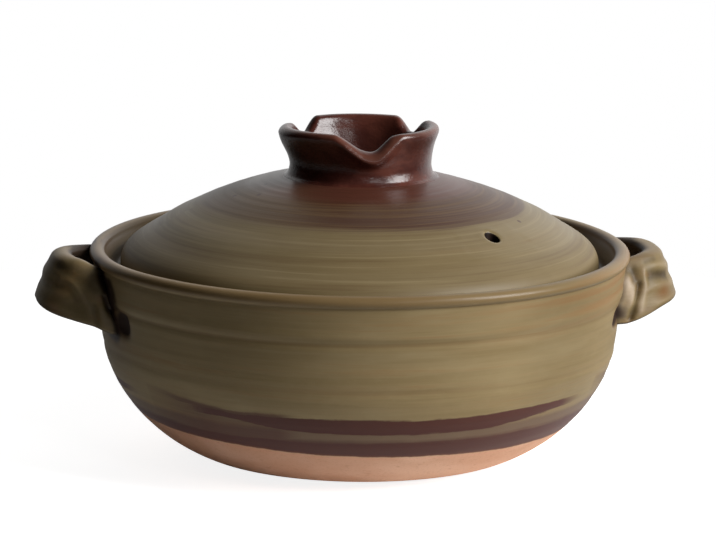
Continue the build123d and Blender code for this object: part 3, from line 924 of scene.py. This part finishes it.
def brushwork(look, level, edge):
    """How fully the strokes, their tails and the band cover the glaze."""
    turn = (look.angle - STROKE_START) % STROKE_TURN
    brush = look.noise(0.03, 0.8, 3, 0.6, 0.0, (6, 2, 9))
    ragged = level + (brush - 0.5) * 2.0
    climb = turn.rise(30.0, -14.0) * STROKE_CLIMB
    low = STROKE_LOW + (turn.rise(76.0, 114.0) + turn.rise(44.0, 22.0)) * STROKE_THINNING
    high = STROKE_HIGH + climb
    stroke = ragged.rise(high + 0.5, high - 0.5) * ragged.rise(low, low + 1.0)
    stroke = stroke * ((turn + edge * 6.0).rise(2.0, 22.0) * turn.rise(116.0, 103.0))
    middle = TAIL_HEIGHT + climb
    reach = turn.rise(-6.0, 18.0) * turn.rise(42.0, 35.0)
    tail = abs(ragged - middle).rise(2.8, 0.5) * reach
    veil = ragged.rise(middle + 1.5, middle - 1.5) * reach
    stroke = stroke.most((tail * 0.8).most(veil * 0.6)) * (0.86 + brush * 0.4)
    return stroke.most(ragged.rise(BAND_TOP, BAND_TOP - 3.0) * 0.92).least(0.96)


def bowl_glaze():
    look = Look("bowl_glaze", 0.42, 0.25)
    x, z, tint, note = look.x, look.z, look.tint, look.note
    streak, fine = olive_glaze(look, 0.3)
    wobble = look.noise(0.02, 0.02, 2) - 0.5
    edge = look.noise(0.12, 0.12, 3, 0.6) - 0.5
    level = z + (wobble * 3.0 + edge * 1.2)
    # Glaze is thin under the lip, where the iron shows through
    tint(level.rise(76, 84) * x.rise(20, 80) * streak.rise(0.40, 0.62) * 0.5, IRON_TINT)
    # Painted shade: the wall round x = 78 mm, where the key lamp lights it most, is darkened
    tint(abs(x - 78).rise(32, 4) * 0.28, OLIVE_SHADE)
    # Glaze is thin in the grooves, where the iron shows through
    tint(note("relief").rise(-0.12, -0.6) * 0.55, THIN_GLAZE)
    tint(level.rise(38.5, 35.5) * 0.75, IRON_BROWN)
    tint(brushwork(look, level, edge), IRON_DARK_AND_SHADE)
    # Glaze is thin on the lip; the gallery inside it, between the lip and the lid, is darkened as painted shade
    lip_low, lip_inner = RIM_HEIGHT - LIP_DEPTH, RIM_RADIUS - LIP_WIDTH
    lip = z.rise(lip_low, RIM_HEIGHT - LIP_DEPTH / 2)
    tint(lip * (0.12 + x.rise(90, 10) * 0.35), THIN_GLAZE)
    gallery = look.radius.rise(lip_inner + 2.5, lip_inner + 0.5) * z.rise(LEDGE_HEIGHT - 3, LEDGE_HEIGHT)
    tint(gallery * 0.75, GALLERY_SHADE)
    # Beside the straps, stronger on the left: a dark tint that is partly iron and partly painted shade, and
    # painted shade in the fold under the lip and along the crease. Glaze pools dark in the thumb presses
    leftward = x.rise(400, -200)
    near_strap = note("near_strap")
    tint(near_strap * (leftward * 0.3), IRON_DARK_AND_SHADE)
    below_lip = z.rise(lip_low - 0.5, lip_low - 3)
    fold = near_strap.rise(0.45, 0.78) * z.rise(75, 80) * (below_lip * x.rise(-60, -100))
    tint(fold * 0.92, POOLED_AND_SHADE)
    tint(note("crease_shade").rise(0.15, 0.95) * leftward, POOLED_AND_SHADE)
    pool = note("pool").rise(0.2, 0.6)
    tint(pool * 0.95, POOLED_AND_SHADE)
    # The bare foot
    line = CLAY_LINE + x * CLAY_LINE_SLOPE + (wobble * 1.5 + edge * 1.2)
    tint(z.rise(line + 1.3, line) * 0.8, CLAY_EDGE)
    bare = z.rise(line + 0.3, line - 0.3)
    clay, grain = bare_clay(look)
    # The bare clay is darker and warmer towards the left, as painted shade
    tint(bare, look.mix(x.rise(20, -90) * 0.3, clay, CLAY_GRAIN_AND_SHADE))
    rougher = bare * 0.40 + pool * 0.25 - lip * 0.12 + streak * 0.08
    return look.done(rougher, fine * 0.5 + grain * bare * 1.5, 0.06)


def cloudy_glaze(name, roughness, specular, noise, dark, pale, rougher):
    """Two tones in soft clouds or streaks, for the hollow and, as painted shade, for the wall of the hole."""
    look = Look(name, roughness, specular)
    cloud = look.noise(*noise)
    look.colour = look.mix(cloud.rise(0.35, 0.7), dark, pale)
    return look.done(cloud * rougher, cloud, 0.08)


def clay_look():
    look = Look("bare_clay", 0.80, 0.3)
    look.colour, grain = bare_clay(look)
    return look.done(grain * 0.1, grain, 0.1)


def handle_glaze(name, crease_shade, shade):
    """Pale on the ridges and dark in the marks, partly the glaze and partly painted light, with painted shade
    on the underside, on the inner faces and where a strap meets the wall.
    """
    look = Look(name, 0.42, 0.25)
    tint, note = look.tint, look.note
    streak, fine = olive_glaze(look, 0.15, shade)
    rust = look.noise(0.06, 0.10, 3, 0.6, 0.5, (4, 4, 2))
    mauve = look.noise(0.05, 0.16, 3, 0.6, 0.4, (1, 7, 5))
    grain = look.noise(0.35, 0.5, 4, 0.6)
    tint(mauve.rise(0.5, 0.75) * 0.4, STRAP_MAUVE)
    # Paler ridges and top edges, partly painted highlight, and darker marks, partly painted shade
    tint((note("pale") * (0.7 + grain * 0.5)).least(0.95), STRAP_PALE_AND_HIGHLIGHT)
    tint((note("deep") * (0.6 + grain * 0.5)).least(0.95), STRAP_DEEP_AND_SHADE)
    # Rust in the glaze, and a rusty patch on the right strap's front limb
    tint(rust.rise(0.55, 0.72) * 0.22, IRON_TINT)
    tint(note("patch") * 0.85, STRAP_PATCH)
    # Painted shade on the underside and on the faces turned to the wall
    tint(note("underside_shade") * 0.8, STRAP_UNDER_SHADE)
    tint(note("inner_face_shade") * 0.92, STRAP_INNER_SHADE)
    # Painted shade where a strap meets the wall, reaching further on the shaded left handle, and in the darkest
    # marks
    reach = 2.2 + look.z.rise(78, 84) * (crease_shade * 3.0)
    tint(note("away").rise(reach, 0.3) * crease_shade, POOLED_AND_SHADE)
    tint(note("crease_shade"), POOLED_AND_SHADE)
    # Glaze pools dark in the thumb presses
    pool = note("pool").rise(0.15, 0.55)
    tint(pool * 0.95, POOLED_AND_SHADE)
    return look.done(streak * 0.08 + pool * 0.25, fine * 0.6 + grain, 0.10)


def lid_glaze():
    """Olive, with a brown zone of turned lines round the knob, and iron specks."""
    look = Look("lid_glaze", 0.32, 0.35)
    x, radius, tint = look.x, look.radius, look.tint
    streak, fine = olive_glaze(look, 0.15, 0.5)
    swing = radius + look.angle * (1.5 / 180)
    spread = look.node("CombineXYZ", _0=swing * 0.55, _1=x * 0.008, _2=look.y * 0.008)
    turned = look.node("TexNoise", Vector=spread, Scale=1.0, Detail=4.0, Roughness=0.65)
    tint(turned.rise(0.52, 0.68) * 0.32, LID_LINES)
    tint(turned.rise(0.48, 0.34) * 0.25, OLIVE_PALE)
    # The brown zone, darker and glossier close to the knob, where it takes the knob's colours, partly glaze run
    # down from the knob and partly a painted reflection of the knob, with a dark line round its right half
    reach = radius + ((look.noise(0.02, 0.02, 2) - 0.5) * 5.0 + turned * 9.0)
    brown = reach.rise(BROWN_ZONE_RADIUS + 8.0, BROWN_ZONE_RADIUS + 1.5)
    close = (radius + look.noise(0.05, 0.05, 3, 0.6, 0.3) * 12.0).rise(66, 54)
    zone = look.mix(turned.rise(0.42, 0.66), LID_BROWN, LID_LINES)
    zone = look.mix(close, zone, look.mix(turned, KNOB_DARK, KNOB_BROWN))
    tint(brown * (0.94 - x.rise(-15, -60) * 0.3), zone)
    rim = abs(reach - (BROWN_ZONE_RADIUS + 4.8)).rise(1.6, 0.2) * x.rise(-30, 40)
    tint(rim * 0.5, LID_DARK)
    for spot in LID_SPECKS:
        near = look.distance((*spot, dome_height(hypot(*spot))))
        tint(near.rise(1.5, 0.7) * 0.8, KNOB_DARK)
    hole_height = dome_height(HOLE_DISTANCE + HOLE_RADIUS)
    near = look.distance((HOLE_CENTRE.x, HOLE_CENTRE.y, hole_height))
    tint(near.rise(5.4, 4.2) * 0.35, OLIVE_PALE)
    matt = radius.rise(LID_RADIUS - 14, LID_RADIUS - 4) * 0.12
    return look.done(streak * 0.12 - close * 0.08 + matt, turned * (0.2 + brown) + fine * 0.2, 0.06)


def knob_glaze():
    look = Look("knob_glaze", 0.19, 0.55)
    cloud = look.noise(0.05, 0.09, 4, 0.6, 0.3)
    fine = look.noise(0.5, 0.7, 4, 0.6)
    look.colour = look.mix(cloud.rise(0.35, 0.7), KNOB_DARK, KNOB_BROWN)
    look.tint(look.note("relief") * 0.3, KNOB_EDGE)
    return look.done(cloud * 0.10, fine + cloud * 0.5, 0.15)


# Studio: a strength of 1 shows as white
FLOOR_RADIUS = 480.0
FLOOR_SIDES = 96
FLOOR_TONE = 0.88
FLOOR_FAR_TONE = 0.20
FLOOR_FADE = (0.16, 0.27)
FLOOR_GLOW = 0.85
FLOOR_MIRRORED = 0.15
# Lamps: name, azimuth, elevation, distance, width and height, power. All shine at LAMP_AIM
LAMPS = (
    ("key", 66.0 + CAMERA_AZIMUTH, 28.0, 3000.0, (1400.0, 1900.0), 114.0),
    ("glint", 25.0 + CAMERA_AZIMUTH, 32.0, 2500.0, (600.0, 140.0), 3.0),
)
LAMP_AIM = Vector((0, 0, 80))
# Soft patches of light in the world: the way to the middle, where they begin and are full, strength
ROOM = (Vector((0.8, -0.1, 0.6)), -0.4, 0.9, 0.05)
BEHIND = (Vector((0.15, 0.95, 0.25)), 0.5, 0.98, 0.90)
BACKDROP = (Vector((0.62, 0.76, 0.15)), 0.62, 0.97, 1.0)
WHITE = (1, 1, 1, 1)


def direction(azimuth, elevation):
    """The way out from the pot: azimuth 0 is the front and 90 the right."""
    flat = cos(radians(elevation))
    return Vector((sin(radians(azimuth)) * flat, -cos(radians(azimuth)) * flat, sin(radians(elevation))))


def add_lamp(name, azimuth, elevation, distance, size, power):
    """A soft rectangular lamp that shines at the pot."""
    data = bpy.data.lights.new(name, "AREA")
    data.shape = "RECTANGLE"
    data.size, data.size_y = (side * MM for side in size)
    data.energy = power
    away = direction(azimuth, elevation)
    lamp = add(name, data)
    lamp.location = (LAMP_AIM + away * distance) * MM
    lamp.rotation_euler = away.to_track_quat("Z", "Y").to_euler()


def empty_graph(owner):
    """The nodes of a material or the world, empty, with two shares of rays.

    The first is the camera's own rays, and the second those that come by way of a gloss or through glass.
    """
    graph = Graph(owner)
    graph.tree.nodes.clear()
    direct, glossy, through = (graph.node("LightPath", f"Is {kind} Ray")
                               for kind in ("Camera", "Glossy", "Transmission"))
    return graph, direct, glossy.most(through)


def floor_white():
    """White to look at; a matt surface catches the shadow, and grows darker far from the pot."""
    material = bpy.data.materials.new("floor_white")
    graph, direct, mirrored = empty_graph(material)
    away = graph.vector("LENGTH", graph.node("TexCoord", "Object"), output="Value")
    rise = away.rise(*FLOOR_FADE, FLOOR_GLOW, 1.0, "LINEAR")
    tone = away.rise(*FLOOR_FADE, FLOOR_TONE, FLOOR_FAR_TONE, "LINEAR")
    seen = direct.most(mirrored * FLOOR_MIRRORED)
    dark, glow = graph.node("Emission", Strength=0.0), graph.node("Emission", Strength=rise)
    shown = graph.node("MixShader", _0=seen, _1=dark, _2=glow)
    surface = graph.node("AddShader", _0=graph.node("BsdfDiffuse", Color=tone), _1=shown)
    graph.node("OutputMaterial", Surface=surface)
    return material


def surroundings():
    """Weak light from the room and from behind the pot, and a white backdrop where it is seen."""
    world = bpy.data.worlds.new("surroundings")
    graph, direct, mirrored = empty_graph(world)
    facing = graph.node("TexCoord", "Generated")

    def patch(side, low, high, strength):
        turned = graph.vector("DOT_PRODUCT", facing, side.normalized(), "Value")
        return turned.rise(low, high, 0.0, strength, "LINEAR")

    level = patch(*ROOM) + (1.0 - mirrored * 0.5) * patch(*BEHIND)
    seen = direct.most(mirrored * patch(*BACKDROP))
    room = graph.node("Background", Color=WHITE, Strength=level)
    white = graph.node("Background", Color=WHITE, Strength=1.0)
    graph.node("OutputWorld", Surface=graph.node("MixShader", _0=seen, _1=room, _2=white))
    return world


def studio():
    """A white round table and backdrop, a large soft lamp at the right and a small one for a highlight."""
    mesh = bpy.data.meshes.new("floor")
    turns = [2 * pi * k / FLOOR_SIDES for k in range(FLOOR_SIDES)]
    edge = [(FLOOR_RADIUS * MM * cos(t), FLOOR_RADIUS * MM * sin(t), 0) for t in turns]
    mesh.from_pydata(edge, [], [tuple(range(FLOOR_SIDES))])
    mesh.materials.append(floor_white())
    floor = add("floor", mesh)
    for lamp in LAMPS:
        add_lamp(*lamp)
    scene.world = surroundings()


def camera():
    """The camera stands where the photo's stood, turned by the photo's small roll."""
    data = bpy.data.cameras.new("camera")
    data.sensor_width = SENSOR_WIDTH
    data.lens = PIXELS_PER_MM * CAMERA_DISTANCE * SENSOR_WIDTH / PHOTO_WIDTH
    data.shift_x = (PHOTO_WIDTH / 2 - AXIS_PIXEL_X) / PHOTO_WIDTH
    data.clip_start, data.clip_end = 0.05, 30
    eye = add("camera", data)
    back = direction(CAMERA_AZIMUTH, CAMERA_ELEVATION)
    place = Matrix.Translation((Vector((0, 0, MIDDLE_HEIGHT)) + back * CAMERA_DISTANCE) * MM)
    turn = back.to_track_quat("Z", "Y").to_matrix().to_4x4()
    eye.matrix_world = place @ turn @ Matrix.Rotation(radians(CAMERA_ROLL), 4, "Z")
    bpy.context.scene.camera = eye


def place(piece, body, node, *materials):
    """Puts a finished piece on its body, in the place of its node."""
    for material in materials:
        piece.data.materials.append(material)
    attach(piece, body)
    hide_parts(node)


bpy.context.scene.view_settings.view_transform = "Standard"
camera()
studio()
clay = clay_look()
inside = cloudy_glaze("inside_glaze", 0.32, 0.35, (0.015, 0.3, 4, 0.6, 0.3), INSIDE_DARK, INSIDE_PALE, 0.08)
# The steam hole's wall is painted dark as shade
hole = cloudy_glaze("hole_painted_shade", 0.45, 0.2, (0.4, 0.4, 3, 0.6), HOLE_SHADE_DARK, HOLE_SHADE_PALE, 0.15)
right = strap("strap_right", turned=False, top_height=RIM_HEIGHT - 3.0, more_depth=0.0, lean_out=5.7,
              root_drop=2.4, lump=(2.2, 0.44, 0.84), flutes=0.34,
              front_marks=PINCHED_LIMB, back_marks=FOLDED_LIMB)
left = strap("strap_left", turned=True, top_height=RIM_HEIGHT - 1.0, more_depth=1.2, lean_out=7.0,
             root_drop=4.2, lump=(1.4, 0.76, 0.92), flutes=0.24,
             front_marks=FOLDED_LIMB, back_marks=PINCHED_LIMB)
place(bowl((left, right)), "pot", "pot_body", bowl_glaze(), inside, clay)
# The left handle's glaze is a shaded copy of the right's: more painted shade overall and along the crease
place(right, "pot", "handle_right", handle_glaze("right_handle_glaze", crease_shade=0.35, shade=0.32))
place(left, "pot", "handle_left", handle_glaze("left_handle_shaded_glaze", crease_shade=0.9, shade=0.6))
place(dome(), "lid", "lid_dome", lid_glaze(), clay, inside, hole)
place(knob(), "lid", "lid_knob", knob_glaze())
